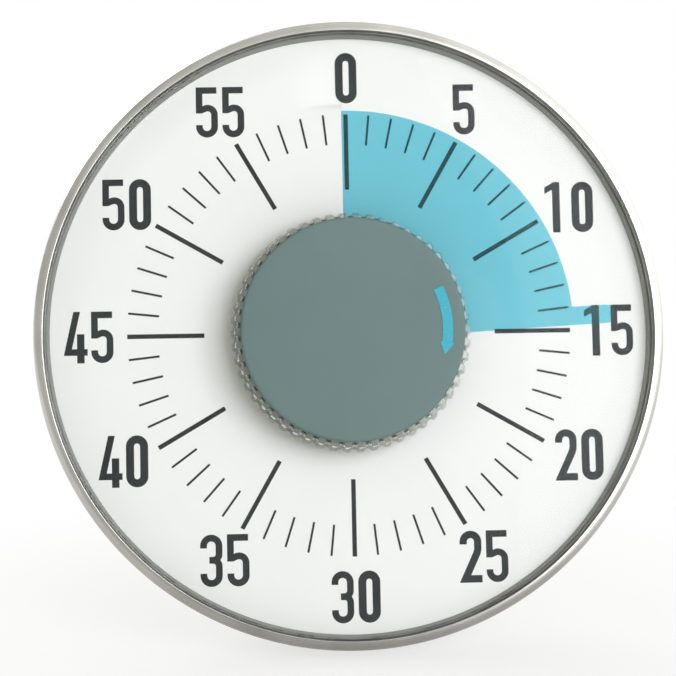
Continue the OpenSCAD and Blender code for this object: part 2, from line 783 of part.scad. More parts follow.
// Front half of the movement case: the plate with the spindle's bearing, and walls
module movement_front() {
    bearing = 1;
    color("gray") place() difference() {
        union() {
            translate([-move_half, -move_half, move_front - move_wall])
                cube([move_side, move_side, move_wall]);
            difference() {
                translate([-move_half, -move_half, move_split])
                    cube([move_side, move_side, move_front - move_split]);
                translate([-move_inside, -move_inside, move_split - 1])
                    cube([2 * move_inside, 2 * move_inside, move_front - move_split + 1]);
            }
            translate([0, 0, move_front - move_wall - bearing]) cylinder(r = 5.5, h = move_wall + bearing);
            for (p = move_screw_at) {
                translate([p[0], p[1], move_split]) cylinder(r = screw_post_r, h = move_front - move_split);
            }
        }
        translate([0, 0, move_split]) cylinder(r = spindle_r + running, h = 20);
        for (p = [second_at, third_at, rotor_at]) {
            translate([p[0], p[1], move_front - move_wall - 1])
                cylinder(r = arbor_r + running, h = 2, $fn = 32);
        }
        for (p = move_screw_at) {
            translate([p[0], p[1], move_split - 1]) cylinder(r = 1.1, h = 20, $fn = 32);
        }
    }
}

// Back half of the movement case: the plate with the blind bearings, walls and posts
module movement_back() {
    color("gray") place() difference() {
        union() {
            translate([-move_half, -move_half, move_back]) cube([move_side, move_side, move_wall]);
            difference() {
                translate([-move_half, -move_half, move_back])
                    cube([move_side, move_side, move_split - move_back]);
                translate([-move_inside, -move_inside, move_back + move_wall])
                    cube([2 * move_inside, 2 * move_inside, move_depth]);
            }
            for (p = move_screw_at) {
                translate([p[0], p[1], move_back]) cylinder(r = screw_post_r, h = move_split - move_back);
            }
            for (x = [board_left + 2, move_inside - 8], y = [-move_inside + 3, board_top - 2]) {
                translate([x, y, move_back]) cylinder(r = 1.6, h = board_z - board_t - move_back, $fn = 32);
            }
            for (p = [[stator_left + 2, stator_top - 2], [stator_right - 1.7, stator_low + 2]]) {
                translate([p[0], p[1], move_back])
                    cylinder(r = 1.4, h = stator_z - stator_t - move_back, $fn = 32);
            }
        }
        translate([0, 0, move_back + move_wall - pivot_deep])
            cylinder(r = pivot_r + running, h = 3, $fn = 48);
        for (p = [second_at, third_at, rotor_at]) {
            translate([p[0], p[1], move_back + move_wall - 1])
                cylinder(r = arbor_r + running, h = 3, $fn = 32);
        }
        for (p = move_screw_at) {
            translate([p[0], p[1], move_back - 1]) cylinder(r = 1.1, h = 20, $fn = 32);
        }
    }
}

// Four screws that hold the movement on the frame
module movement_screws() {
    color("gray") place() for (p = move_screw_at) {
        translate([p[0], p[1], move_back]) screw(2, 1, 1, move_depth + frame_t, $fn = 32);
    }
}

// Wheel that the motor turns once an hour; it slips on the spindle
module main_wheel() {
    color("white") at_arbor([0, 0], level_1 - main_t) rotate(second_dir)
        wheel(main_teeth, main_mod, main_t, spindle_r + running);
}

// Dished spring washer that presses the main wheel on the spindle's flange
module clutch_spring() {
    dish = spring_h - 0.3;
    color("goldenrod") at_arbor([0, 0], level_1 - main_t - spring_h - 0.05) rotate_extrude($fn = 64)
        polygon([[spindle_r + running, 0], [5.2, dish], [5.2, spring_h], [spindle_r + running, 0.3]]);
}

// Clip that backs the spring washer
module clutch_clip() {
    top = level_1 - main_t - spring_h - 0.1;
    color("dimgray") at_arbor([0, 0], 0) tube(clip_r, spindle_r + running, top - clip_t, top);
}

// Second wheel and its pinion
module second_wheel() {
    color("white") at_arbor(second_at, level_2 - second_t) rotate(third_dir)
        wheel(second_teeth, second_mod, second_t, arbor_r + 0.02);
}
module second_pinion() {
    pinion(second_at, second_pinion_teeth, main_mod, level_1 - main_t - 0.4, main_t + 0.8,
        second_dir + 180 + 180 / second_pinion_teeth);
}

// Third wheel and its pinion
module third_wheel() {
    color("white") at_arbor(third_at, level_3 - third_t) rotate(rotor_dir)
        wheel(third_teeth, third_mod, third_t, arbor_r + 0.02);
}
module third_pinion() {
    pinion(third_at, third_pinion_teeth, second_mod, level_2 - second_t - 0.4, second_t + 0.6,
        third_dir + 180 + 180 / third_pinion_teeth);
}

// Two-pole rotor magnet and its pinion
module rotor_magnet() {
    color("dimgray") at_arbor(rotor_at, stator_z - stator_t - 0.2) difference() {
        cylinder(r = rotor_r, h = stator_t + 0.4, $fn = 48);
        translate([0, 0, -1]) cylinder(r = arbor_r + 0.02, h = stator_t + 3, $fn = 32);
    }
}
module rotor_pinion() {
    pinion(rotor_at, rotor_teeth, third_mod, level_3 - third_t - 0.3, third_t + 0.6,
        rotor_dir + 180 + 180 / rotor_teeth);
}

// Laminated stator: a loop round the rotor, one leg of which carries the coil
module stator() {
    color("slategray") place() translate([0, 0, stator_z - stator_t]) linear_extrude(stator_t) difference() {
        translate([stator_left, stator_low]) square([stator_right - stator_left, stator_top - stator_low]);
        translate([coil_from, stator_low + coil_leg])
            square([coil_to - coil_from, stator_top - stator_low - 2 * coil_leg]);
        translate(rotor_at) circle(rotor_r + rotor_gap, $fn = 48);
    }
}

// Motor coil on the stator's leg
module motor_coil() {
    color("peru") place() translate([coil_from + 1, stator_top - coil_leg / 2, stator_z - stator_t / 2])
        rotate([0, 90, 0]) difference() {
            cylinder(r = coil_r, h = coil_to - coil_from - 2, $fn = 48);
            cube([stator_t + fit, coil_leg + fit, 4 * move_half], center = true);
        }
}

// Circuit board on its posts, notched round the screw's post
module circuit_board() {
    low = wall_gap - move_inside;
    color("seagreen") place() difference() {
        translate([board_left, low, board_z - board_t])
            cube([move_inside - wall_gap - board_left, board_top - low, board_t]);
        translate([move_half - 4, 4 - move_half, board_z - board_t - 1])
            cylinder(r = screw_post_r + wall_gap, h = board_t + 2, $fn = 48);
    }
}

// Timer chip on the board
module timer_chip() {
    color("black") place() translate([board_left + 6, -16, board_z]) cube([8, 6, 1.2]);
}

// Quartz crystal lying on the board
module quartz_crystal() {
    can_r = 1.5;
    color("silver") place() translate([board_left + 5, -20, board_z + can_r]) rotate([0, 90, 0])
        cylinder(r = can_r, h = 8, $fn = 32);
}

// Steel spindle: flange for the clutch, a pivot behind, two flats in front
module spindle() {
    color("silver") place() difference() {
        union() {
            translate([0, 0, spindle_foot]) cylinder(r = spindle_r, h = spindle_top - spindle_foot);
            translate([0, 0, spindle_foot - 1 - pivot_deep]) cylinder(r = pivot_r, h = 3, $fn = 48);
            translate([0, 0, level_1 + flange_gap / 4]) cylinder(r = flange_r, h = flange_t);
        }
        for (side = [-1, 1]) {
            translate([side * (spindle_flat + 5), 0, (flats_from + spindle_top) / 2 + 1])
                cube([10, 20, spindle_top - flats_from + 2], center = true);
        }
        translate([0, 0, spindle_top - 7]) cylinder(r = 1.5 + running, h = 8, $fn = 32);
    }
}

// Cam that closes the alarm's contact at zero
module alarm_cam() {
    half = 24;
    color("ivory") place() rotate(-set_angle) translate([0, 0, cam_z - cam_t]) linear_extrude(cam_t)
        difference() {
            union() {
                circle(cam_r);
                intersection() {
                    circle(cam_lobe);
                    polygon([[0, 0], polar(2 * cam_lobe, 90 - half), polar(2 * cam_lobe, 90 + half)]);
                }
            }
            circle(spindle_r + running, $fn = 48);
        }
}

// Springy contact strip beside the cam, soldered to the board
module contact_leaf() {
    leaf_t = 0.3;
    color("goldenrod") place() {
        translate([cam_lobe + 0.15, -9, cam_z - cam_t]) cube([leaf_t, 12, cam_t]);
        translate([cam_lobe + 0.15, -9, board_z]) cube([3, leaf_t, cam_z - board_z]);
    }
}

// ---- Film ----

// Spindle-shaped hole with two flats, grown by a clearance
module flats_hole(clear, z0, z1) {
    translate([0, 0, z0]) intersection() {
        cylinder(r = spindle_r + clear, h = z1 - z0);
        translate([-spindle_flat - clear, -10, 0]) cube([2 * (spindle_flat + clear), 20, z1 - z0]);
    }
}

// Blue film: one turn of a shallow helix, with the pointer tab at its leading edge
module film_disc() {
    radii = [sleeve_r + fit, film_r * 0.3, film_r * 0.52, film_r * 0.74, film_r];
    steps = 72;
    function start(r) = set_angle - 360 + beside(tail_offset, r);
    function stop(r) = set_angle + beside(lead_offset, r);
    function grid(lift) = [for (r = radii) [for (k = [0:steps])
        let (a = start(r) + (stop(r) - start(r)) * k / steps) clock(r, a, film_z(a) + lift)]];
    tip = 1.6;
    root = 3;
    tab_l = tab_r - film_r + root;
    color("deepskyblue") place() union() {
        slab(grid(film_t / 2), grid(-film_t / 2));
        rotate(-set_angle) translate([lead_offset - tab_w, film_r - root, film_now - film_t / 2])
            linear_extrude(film_t) {
                square([tab_w, tab_l - tip]);
                translate([tip, 0]) square([tab_w - 2 * tip, tab_l]);
                translate([tip, tab_l - tip]) circle(tip, $fn = 32);
                translate([tab_w - tip, tab_l - tip]) circle(tip, $fn = 32);
            }
    }
}

// Grids over the angle where hub and clamp grip the film: one follows the film, one is flat
ramp_angles = [for (k = [0:48]) set_angle - 360 + ramp_open + (360 - 2 * ramp_open) * k / 48];
function ramp_grid(radii, lift) = [for (r = radii) [for (a = ramp_angles) clock(r, a, film_z(a) + lift)]];
function flat_grid(radii, z) = [for (r = radii) [for (a = ramp_angles) clock(r, a, z)]];

// Hub that slides on the spindle's flats and carries the film on its ramp
module film_hub() {
    ring = [sleeve_r - 0.5, hub_r];
    color("whitesmoke") place() difference() {
        union() {
            translate([0, 0, hub_bottom]) cylinder(r = sleeve_r, h = clamp_top - hub_bottom);
            slab(ramp_grid(ring, -film_t / 2 - film_seat), flat_grid(ring, hub_bottom));
        }
        flats_hole(fit, hub_bottom - 1, clamp_top + 1);
    }
}

// Ring that clamps the film on the hub's ramp
module film_clamp() {
    ring = [sleeve_r + fit, hub_r - 0.5];
    color("whitesmoke") place() slab(flat_grid(ring, clamp_top), ramp_grid(ring, film_t / 2 + film_seat));
}

// ---- Knob ----

// Clear knob: a tapered cup with finger ribs, and a boss that grips the spindle
module knob_body() {
    groove_r = 1.3;
    slope = atan(knob_taper / knob_h);
    color([0.8, 0.85, 0.85, 0.6]) place() difference() {
        union() {
            difference() {
                translate([0, 0, knob_foot])
                    cylinder(r1 = knob_r, r2 = knob_r - knob_taper, h = knob_h, $fn = 180);
                translate([0, 0, knob_foot - 1])
                    cylinder(r = knob_r - knob_taper - knob_wall, h = knob_h - top_plate + 1);
            }
            translate([0, 0, boss_foot]) cylinder(r = boss_r, h = knob_top - boss_foot - 0.5);
        }
        for (k = [0:knob_ribs - 1]) {
            rotate(k * 360 / knob_ribs) translate([knob_r + groove_r - rib_depth, 0, knob_foot])
                rotate([0, -slope, 0]) cylinder(r = groove_r, h = 3 * knob_h, center = true, $fn = 24);
        }
        flats_hole(running, boss_foot - 1, spindle_top);
        translate([0, 0, spindle_top - 1]) cylinder(r = 1.8, h = 4, $fn = 32);
        translate([0, 0, knob_top - screw_pocket]) cylinder(r = screw_pocket_r, h = screw_pocket + 1);
    }
}

// Grey cap on the clear knob, with a rounded top edge
module knob_cap() {
    color([0.43, 0.5, 0.5]) place() rotate_extrude($fn = 180)
        rounded_block(0, cap_r, knob_top, knob_top + cap_t, cap_round);
}

// Blue arrow on the cap: an arc with a head that points clockwise
module knob_arrow() {
    head = 6.5;
    from = 22;
    to = -13;
    barb = 0.6;
    color("deepskyblue") place() rotate(90 - set_angle) translate([0, 0, knob_top + cap_t]) union() {
        linear_extrude(arrow_t) intersection() {
            difference() {
                circle(arrow_r + arrow_w / 2, $fn = 180);
                circle(arrow_r - arrow_w / 2, $fn = 180);
            }
            polygon([[0, 0], polar(50, from), polar(50, 5), polar(50, to)]);
        }
        linear_extrude(arrow_t) polygon([polar(arrow_r - arrow_w / 2 - barb, to + 1),
            polar(arrow_r + arrow_w / 2 + barb, to + 1), polar(arrow_r, to - head)]);
    }
}

// Screw that holds the knob on the spindle
module knob_screw() {
    color("gray") place() translate([0, 0, knob_top - screw_pocket]) mirror([0, 0, 1])
        screw(3, 1.6, 1.5, 6.5, $fn = 48);
}

// ---- Sound ----

// Piezo buzzer disc on its seat
module buzzer_disc() {
    color("gold") place() translate([buzzer_at[0], buzzer_at[1], buzzer_z])
        cylinder(r = buzzer_r, h = buzzer_t);
}

// Ring that holds the buzzer disc down
module buzzer_ring() {
    ring_t = 1.2;
    hold = 1.6;
    color("dimgray") place() translate([buzzer_at[0], buzzer_at[1], 0])
        tube(buzzer_r + buzzer_wall, buzzer_r - hold, buzzer_z + buzzer_t, buzzer_z + buzzer_t + ring_t);
}

// Slider that turns the sound on and off
module sound_switch() {
    proud = 0.8;
    color("dimgray") place() translate([switch_at[0] - switch_travel / 2, switch_at[1], -case_depth - proud])
        translate([-stem_w / 2, -stem_w / 2, 0]) cube([stem_w, stem_w, proud + case_wall + stem_in]);
}

// Housing of the slider on the inside of the back
module switch_housing() {
    color("silver") place() difference() {
        translate([switch_at[0] - 6, switch_at[1] - 4, back_inside]) cube([12, 8, 4]);
        translate([switch_at[0], switch_at[1], back_inside])
            cube([stem_w + switch_travel + 6 * fit, stem_w + 4 * fit, 2 * stem_in + 6 * fit], center = true);
    }
}

bezel_ring();
lens_window();
lens_spacer();
dial_plate();
front_frame();
rear_shell();
foot_pad();
case_screws();
wall_magnets();
stand_leg();
stand_pin();
leg_tip();
battery_door();
battery_cell();
plate_contact();
spring_contact();
movement_front();
movement_back();
movement_screws();
main_wheel();
clutch_spring();
clutch_clip();
second_wheel();
second_pinion();
third_wheel();
third_pinion();
rotor_magnet();
rotor_pinion();
stator();
motor_coil();
circuit_board();
timer_chip();
quartz_crystal();
spindle();
alarm_cam();
contact_leaf();
film_disc();
film_hub();
film_clamp();
knob_body();
knob_cap();
knob_arrow();
knob_screw();
buzzer_disc();
buzzer_ring();
sound_switch();
switch_housing();
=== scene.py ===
import bmesh
import bpy
import math
import numpy as np
from mathutils import Matrix, Vector


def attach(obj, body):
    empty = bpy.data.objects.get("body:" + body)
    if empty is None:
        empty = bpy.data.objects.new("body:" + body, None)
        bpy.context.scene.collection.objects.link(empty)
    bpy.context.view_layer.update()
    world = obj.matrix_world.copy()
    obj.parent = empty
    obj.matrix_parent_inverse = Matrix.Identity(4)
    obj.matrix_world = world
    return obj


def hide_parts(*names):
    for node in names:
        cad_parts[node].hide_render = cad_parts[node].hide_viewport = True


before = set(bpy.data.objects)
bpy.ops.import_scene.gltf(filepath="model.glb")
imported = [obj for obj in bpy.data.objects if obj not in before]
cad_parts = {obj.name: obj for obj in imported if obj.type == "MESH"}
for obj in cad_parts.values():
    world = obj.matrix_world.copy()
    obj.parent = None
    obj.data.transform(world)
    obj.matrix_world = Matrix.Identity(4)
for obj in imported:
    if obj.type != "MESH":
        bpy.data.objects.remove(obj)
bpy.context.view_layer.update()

# ---- Rear shell ----
# The moulded back of the case, white impact-resistant plastic from one steel tool, with a fine
# spark-eroded grain outside. It holds the stand, the battery bay, the magnets and the buzzer.
lean = math.radians(15)
hub_place = (0, 0.0072053, 0.0935394)      # where the dial's middle stands, in metres
white_plastic = (0.80, 0.80, 0.775)


def stood_up(points):
    """Millimetres in the dial's frame to metres on the table.

    x stays; y and z turn by the lean about x; then the dial's middle is moved to its place.
    """
    x, y, z = np.moveaxis(np.asarray(points, float), -1, 0)
    return np.stack([x / 1000,
                     hub_place[1] + (y * math.sin(lean) - z * math.cos(lean)) / 1000,
                     hub_place[2] + (y * math.cos(lean) + z * math.sin(lean)) / 1000], -1)


def added(tree, kind, inputs=None, **settings):
    """New shader node. settings are its properties; inputs gives its sockets, by name or number.

    Each input is a plain value or another node's output, which is linked.
    """
    node = tree.nodes.new("ShaderNode" + kind)
    for name, value in settings.items():
        setattr(node, name, value)
    for name, value in (inputs or {}).items():
        if isinstance(value, bpy.types.NodeSocket):
            tree.links.new(value, node.inputs[name])
        else:
            node.inputs[name].default_value = value
    return node


def maths(tree, how, *values):
    """Output of a new Math node whose inputs are filled in order."""
    return added(tree, "Math", dict(enumerate(values)), operation=how).outputs[0]


def empty_pattern(name):
    """Node group for a pattern: Vector and Size in; Fine, a quick noise, and Broad, a slow one, out."""
    group = bpy.data.node_groups.new(name, "ShaderNodeTree")
    for socket, kind, way in (("Vector", "Vector", "INPUT"), ("Size", "Float", "INPUT"),
                              ("Fine", "Float", "OUTPUT"), ("Broad", "Float", "OUTPUT")):
        group.interface.new_socket(name=socket, in_out=way, socket_type="NodeSocket" + kind)
    return group, group.nodes.new("NodeGroupInput").outputs, group.nodes.new("NodeGroupOutput").inputs


def noise_pattern(name, fine_detail, broad_size):
    """Pattern of two noises: Fine has grains of the given Size, Broad has clouds of broad_size."""
    group, given, out = empty_pattern(name)
    fine = added(group, "TexNoise", {"Vector": given["Vector"], "Detail": fine_detail,
                                     "Scale": maths(group, "DIVIDE", 1, given["Size"])})
    broad = added(group, "TexNoise", {"Vector": given["Vector"], "Detail": 3, "Scale": 1 / broad_size})
    group.links.new(fine.outputs[0], out["Fine"])
    group.links.new(broad.outputs[0], out["Broad"])
    return group


moulded_grain = noise_pattern("moulded_grain", 2, 0.03)


def finish(name, low, high, smooth, rough, depth, size, group=moulded_grain, stretch=(1, 1, 1), **plain):
    """Material with one Principled shader and a pattern that lies in the dial's own frame.

    The slow noise runs the base colour from low to high, the quick noise runs the roughness from
    smooth to rough and raises the surface by depth (metres); stretch packs the pattern closer
    along an axis; plain gives the shader's other sockets.
    """
    material = bpy.data.materials.new(name)
    material.use_nodes = True
    tree = material.node_tree
    shader = tree.nodes["Principled BSDF"]
    mapping = added(tree, "Mapping", {"Vector": added(tree, "TexCoord").outputs["Object"],
                                      "Location": hub_place, "Rotation": (math.pi / 2 - lean, 0, 0),
                                      "Scale": tuple(1 / s for s in stretch)}, vector_type="TEXTURE")
    pattern = added(tree, "Group", {"Vector": mapping.outputs["Vector"], "Size": size},
                    node_tree=group).outputs
    spread = added(tree, "MapRange", {"Value": pattern["Broad"], "From Min": 0.3, "From Max": 0.7})
    tone = added(tree, "Mix", {"Factor": spread.outputs[0], "A": (*low, 1), "B": (*high, 1)},
                 data_type="RGBA")
    gloss = added(tree, "MapRange", {"Value": pattern["Fine"], "To Min": smooth, "To Max": rough})
    relief = added(tree, "Bump", {"Height": pattern["Fine"], "Distance": depth})
    tree.links.new(tone.outputs["Result"], shader.inputs["Base Color"])
    tree.links.new(gloss.outputs[0], shader.inputs["Roughness"])
    tree.links.new(relief.outputs["Normal"], shader.inputs["Normal"])
    for socket, value in plain.items():
        shader.inputs[socket.replace("_", " ")].default_value = value
    return material


def dress(material, *nodes):
    """Gives CAD pieces whose shape is right their material."""
    for node in nodes:
        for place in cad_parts[node].material_slots:
            place.material = material


def shade(colour, by):
    """The colour times a factor."""
    return tuple(c * by for c in colour)


case_plastic = finish("case_plastic", shade(white_plastic, 0.97), shade(white_plastic, 1.02), 0.40, 0.56,
                      0.00003, 0.00045)
dress(case_plastic, "rear_shell")

# ---- Stand: leg, pin and rubber feet ----
# The leg is moulded in the same white plastic and swings on a drawn steel pin; its shoe and the
# foot under the case are moulded rubber, matt and slightly dusty.
leg_plastic = finish("leg_plastic", shade(white_plastic, 0.95), shade(white_plastic, 1.0), 0.36, 0.50,
                     0.00003, 0.00045)
dress(leg_plastic, "stand_leg")
rubber = finish("rubber", (0.035, 0.036, 0.038), (0.06, 0.061, 0.063), 0.72, 0.92, 0.00006, 0.0003,
                IOR=1.45)
dress(rubber, "foot_pad", "leg_tip")
drawn_lines = noise_pattern("drawn_lines", 5, 0.02)
pin_steel = finish("pin_steel", (0.46, 0.46, 0.45), (0.58, 0.58, 0.57), 0.2, 0.38, 0.000004, 0.0012,
                   drawn_lines, (1, 14, 14), Metallic=1)
dress(pin_steel, "stand_pin")

# ---- Battery bay: door, cell and contacts ----
# The door is white plastic like the case. The cell is a steel can in a printed plastic sleeve,
# with bare nickel ends; the contacts are stamped and wound spring brass.
door_plastic = finish("door_plastic", shade(white_plastic, 0.96), shade(white_plastic, 1.01), 0.38, 0.52,
                      0.00003, 0.00045)
dress(door_plastic, "battery_door")

copper_from = 0.0125                       # the upper third of the sleeve is copper coloured
sleeve_middle, sleeve_half = 0.0033, 0.0236    # it stops short of both ends of the cell
cell_wrap = finish("cell_wrap", (0.011, 0.012, 0.014), (0.02, 0.021, 0.024), 0.16, 0.3, 0.000006, 0.002,
                   Coat_Weight=0.4)
tree = cell_wrap.node_tree
shader = tree.nodes["Principled BSDF"]
along = added(tree, "SeparateXYZ", {0: tree.nodes["Mapping"].outputs["Vector"]}).outputs["Y"]
sleeve = added(tree, "Mix", {"Factor": maths(tree, "GREATER_THAN", along, copper_from),
                             "A": tree.nodes["Mix"].outputs["Result"], "B": (0.62, 0.25, 0.075, 1)},
               data_type="RGBA")
wrapped = maths(tree, "COMPARE", along, sleeve_middle, sleeve_half)
can = added(tree, "Mix", {"Factor": wrapped, "A": (0.55, 0.54, 0.52, 1), "B": sleeve.outputs["Result"]},
            data_type="RGBA")
tree.links.new(can.outputs["Result"], shader.inputs["Base Color"])
tree.links.new(maths(tree, "SUBTRACT", 1, wrapped), shader.inputs["Metallic"])
dress(cell_wrap, "battery_cell")

spring_brass = finish("spring_brass", (0.56, 0.40, 0.16), (0.68, 0.50, 0.22), 0.22, 0.42, 0.000004, 0.0006,
                      drawn_lines, (6, 1, 6), Metallic=1)
dress(spring_brass, "plate_contact", "spring_contact", "contact_leaf", "clutch_spring")

# ---- Magnets, screws, buzzer and sound switch ----
# Nickel-plated disc magnets are pressed into the back; the screws are zinc-plated steel. The
# buzzer is a brass disc under a plastic ring, and the switch a black slider in a steel housing.
nickel = finish("nickel", (0.50, 0.49, 0.46), (0.62, 0.61, 0.58), 0.10, 0.26, 0.000003, 0.0015, Metallic=1)
dress(nickel, "wall_magnets")
zinc = finish("zinc", (0.42, 0.43, 0.44), (0.60, 0.60, 0.58), 0.26, 0.46, 0.000006, 0.0008, Metallic=1)
dress(zinc, "case_screws", "movement_screws", "knob_screw")
buzzer_brass = finish("buzzer_brass", (0.60, 0.45, 0.19), (0.72, 0.56, 0.27), 0.25, 0.40, 0.000004, 0.0012,
                      Metallic=1)
dress(buzzer_brass, "buzzer_disc")
grey_plastic = finish("grey_plastic", (0.10, 0.105, 0.11), (0.13, 0.135, 0.14), 0.42, 0.6, 0.00003, 0.0005)
dress(grey_plastic, "buzzer_ring", "movement_front", "movement_back")
black_plastic = finish("black_plastic", (0.016, 0.016, 0.017), (0.026, 0.026, 0.027), 0.36, 0.56,
                       0.00002, 0.0004)
dress(black_plastic, "sound_switch", "clutch_clip", "timer_chip")
housing_steel = finish("housing_steel", (0.44, 0.45, 0.46), (0.56, 0.56, 0.56), 0.24, 0.4, 0.000004, 0.0012,
                       drawn_lines, (1, 10, 1), Metallic=1)
dress(housing_steel, "switch_housing")

# ---- Movement: wheels, arbors and motor ----
# Wheels and cam are injection-moulded acetal; arbors, spindle and crystal can are turned steel;
# the rotor is ferrite, the stator stamped iron, the coil enamelled copper wound round its leg.
acetal = finish("acetal", (0.74, 0.73, 0.69), (0.80, 0.79, 0.75), 0.28, 0.42, 0.00001, 0.0006,
                Subsurface_Weight=0.1)
dress(acetal, "main_wheel", "second_wheel", "third_wheel", "alarm_cam")
turned_steel = finish("turned_steel", (0.48, 0.48, 0.47), (0.60, 0.60, 0.59), 0.16, 0.32, 0.000003, 0.0008,
                      drawn_lines, (1, 1, 12), Metallic=1)
dress(turned_steel, "second_pinion", "third_pinion", "rotor_pinion", "quartz_crystal", "spindle")
ferrite = finish("ferrite", (0.035, 0.034, 0.036), (0.055, 0.053, 0.054), 0.5, 0.7, 0.00002, 0.0003)
dress(ferrite, "rotor_magnet")
stator_iron = finish("stator_iron", (0.30, 0.31, 0.33), (0.40, 0.41, 0.42), 0.3, 0.5, 0.000006, 0.0008,
                     drawn_lines, (8, 1, 1), Metallic=1)
dress(stator_iron, "stator")
coil_copper = finish("coil_copper", (0.46, 0.17, 0.07), (0.60, 0.25, 0.11), 0.25, 0.42, 0.00003, 0.00025,
                     drawn_lines, (1, 0.1, 0.1), Metallic=1)
dress(coil_copper, "motor_coil")
board_green = finish("board_green", (0.012, 0.10, 0.045), (0.02, 0.15, 0.07), 0.22, 0.38, 0.00002, 0.0012,
                     Coat_Weight=0.3)
dress(board_green, "circuit_board")

# ---- Front frame ----
# White moulded ring and plate that carry the dial at the rim and the movement behind it.
frame_plastic = finish("frame_plastic", shade(white_plastic, 0.96), shade(white_plastic, 1.0), 0.42, 0.58,
                       0.00003, 0.0005)
dress(frame_plastic, "front_frame")

# ---- Film hub and clamp ----
# Two white moulded rings on the spindle that grip the film's inner edge on a ramp.
hub_plastic = finish("hub_plastic", (0.76, 0.76, 0.74), (0.82, 0.82, 0.80), 0.36, 0.5, 0.00001, 0.0005)
dress(hub_plastic, "film_hub", "film_clamp")

# ---- Dial plate ----
# A thin white plastic plate, cut from the middle to just past the film. It rises by one lead in
# a full turn, so that the two lips of the cut stand apart and let the film through.
film_lead = 1.1
slit_end, slit_width, slit_offset = 70.6, 0.12, 1.3
dial_thickness = 0.5
dial_white = (0.865, 0.870, 0.872)


def ease(low, high, x):
    """Smooth step: 0 below low, 1 above high, t squared times (3 - 2t) between."""
    t = np.clip((x - low) / (high - low), 0, 1)
    return t * t * (3 - 2 * t)


def dial_height(r, a):
    """Height of the dial's middle at radius r and turn a.

    A ramp of one lead a turn; outside the slit it drops back within the last twelve degrees,
    and it flattens out to the frame's rim between 80 and 88.5 mm.
    """
    ramp = film_lead * (a / 360 - 0.5)
    closed = ramp - film_lead * a / 360 * ease(348, 360, a)
    past = ease(68.6, slit_end, r)
    return (ramp * (1 - past) + closed * past) * (1 - ease(80, 88.5, r))


def grid_faces(rows, columns, wrap_rows=False, wrap_columns=False):
    """Four-sided faces between neighbouring rows and columns of a grid of points."""
    i = np.arange(rows if wrap_rows else rows - 1)[:, None]
    j = np.arange(columns if wrap_columns else columns - 1)[None, :]
    below, right = (i + 1) % rows, (j + 1) % columns
    return np.stack([i * columns + j, i * columns + right, below * columns + right,
                     below * columns + j], -1).reshape(-1, 4)


def sheet(top, faces, thickness):
    """A sheet with thickness: the faces, the same faces turned over below them, and a rim.

    The rim stands on every edge that only one face has.
    """
    top, n = top.reshape(-1, 3), top.reshape(-1, 3).shape[0]
    edges = np.concatenate([faces[:, [k, (k + 1) % 4]] for k in range(4)])
    alone = edges[~np.isin(edges[:, 0] * n + edges[:, 1], edges[:, 1] * n + edges[:, 0])]
    rim = np.stack([alone[:, 1], alone[:, 0], alone[:, 0] + n, alone[:, 1] + n], -1)
    return np.concatenate([top, top - [0, 0, thickness]]), np.concatenate([faces, faces[:, ::-1] + n, rim])


def piece(name, points, faces, material, body, slot, *nodes, crisp=35, weld=False):
    """Mesh object from points in the dial's frame; its faces are turned outwards.

    Outwards is where the volume that the faces enclose comes out positive.
    """
    at = stood_up(points).reshape(-1, 3)
    a, b, c, d = (at[faces[:, k]] for k in range(4))
    volume = (np.cross(b - a, c - a) * a).sum() + (np.cross(c - a, d - a) * a).sum()
    mesh = bpy.data.meshes.new(name)
    mesh.from_pydata(at.tolist(), [], (faces[:, ::-1] if volume < 0 else faces).tolist())
    if weld:
        work = bmesh.new()
        work.from_mesh(mesh)
        bmesh.ops.remove_doubles(work, verts=work.verts, dist=1e-7)
        work.to_mesh(mesh)
        work.free()
    mesh.shade_smooth()
    mesh.set_sharp_from_angle(angle=math.radians(crisp))
    mesh.materials.append(material)
    made = bpy.data.objects.new(name, mesh)
    bpy.context.scene.collection.objects.link(made)
    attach(made, body)
    if nodes:
        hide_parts(*nodes)


turns = np.concatenate([np.arange(0, 348, 2.0), np.linspace(348, 360, 13)])
inner_radii = np.concatenate([np.linspace(14, 68.6, 14), [69.1, 69.6, 70.1, slit_end]])
outer_radii = np.array([71.5, 73.5, 75.5, 77.5, 79, 80, 81, 82, 83, 84, 85, 86, 87, 88, 89, 91, 93.85])
r, a = np.meshgrid(np.concatenate([inner_radii, outer_radii]), turns, indexing="ij")
cut = np.degrees(slit_width / r)
angle = np.radians(a * (1 - cut / 360) + cut / 2) - np.arcsin(slit_offset / r)
dial_top = np.stack([r * np.sin(angle), r * np.cos(angle), dial_height(r, a) + dial_thickness / 2], -1)
faces = grid_faces(*r.shape)
closing = grid_faces(*r.shape, wrap_columns=True).reshape(r.shape[0] - 1, -1, 4)[len(inner_radii) - 1:, -1]
dial_plastic = finish("dial_plastic", shade(dial_white, 0.99), dial_white, 0.5, 0.62, 0.00001, 0.0005)
piece("dial", *sheet(dial_top, np.concatenate([faces, closing]), dial_thickness), dial_plastic,
      "case", "dial_white", "dial_plate")

# ---- Printing on the dial ----
# Sixty ticks and the plain numbers 0 to 55 by fives, screen-printed in one dark grey ink. The
# numbers stand upright, in narrow strokes about 2 mm wide with flat ends.
ink_grey = (0.026, 0.031, 0.032)
ink_height, ink_depth = 0.03, 0.05
stroke = 2.3
half_tall, half_wide = 7.75, 3.3           # half the outer height and width of a digit
number_ring, pitch_after_one, pitch = 78.4, 9.0, 8.0
tick_end = 67.1
long_tick, short_tick = (44.0, 1.35), (57.8, 0.66)     # each tick's inner radius and width


